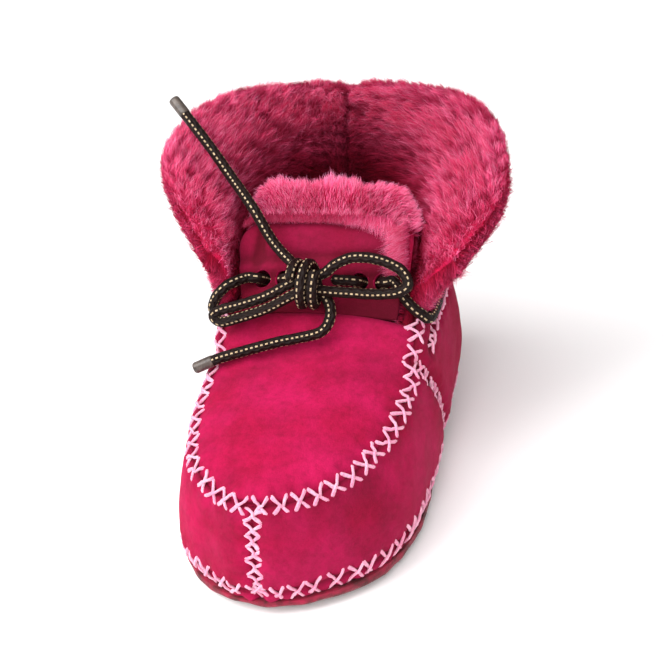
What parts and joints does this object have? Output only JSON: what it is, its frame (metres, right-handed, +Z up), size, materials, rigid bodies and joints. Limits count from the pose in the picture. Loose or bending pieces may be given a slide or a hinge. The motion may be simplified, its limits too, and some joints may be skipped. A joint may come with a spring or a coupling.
{
  "type": "sheepskin baby bootie",
  "caption": "Soft moccasin bootie for a baby: a hollow suede upper on a leather sole, with a turned-out fleece cuff, a tongue and a tied lace.",
  "frame": {"origin": "middle of the sole's underside, where the bootie rests", "axes": "+Y from toe to heel, +Z up from the sole, +X to the wearer's left as the bootie lies on the left of the picture"},
  "size_m": [0.0949, 0.1224, 0.095],
  "materials": {
    "suede": "suede",
    "fleece": "wool pile",
    "sole": "rough leather",
    "lace": "braided"
  },
  "bodies": {
    "root": {"upper": "suede", "cuff": "suede", "tongue": "suede", "cuff_fleece": "fleece", "tongue_fleece": "fleece", "insole": "fleece", "outsole": "sole", "lace_ankle": "lace", "lace_knot": "lace", "lace_loop_left": "lace", "lace_loop_right": "lace", "lace_end_long": "lace", "lace_end_short": "lace"}
  },
  "joints": []
}
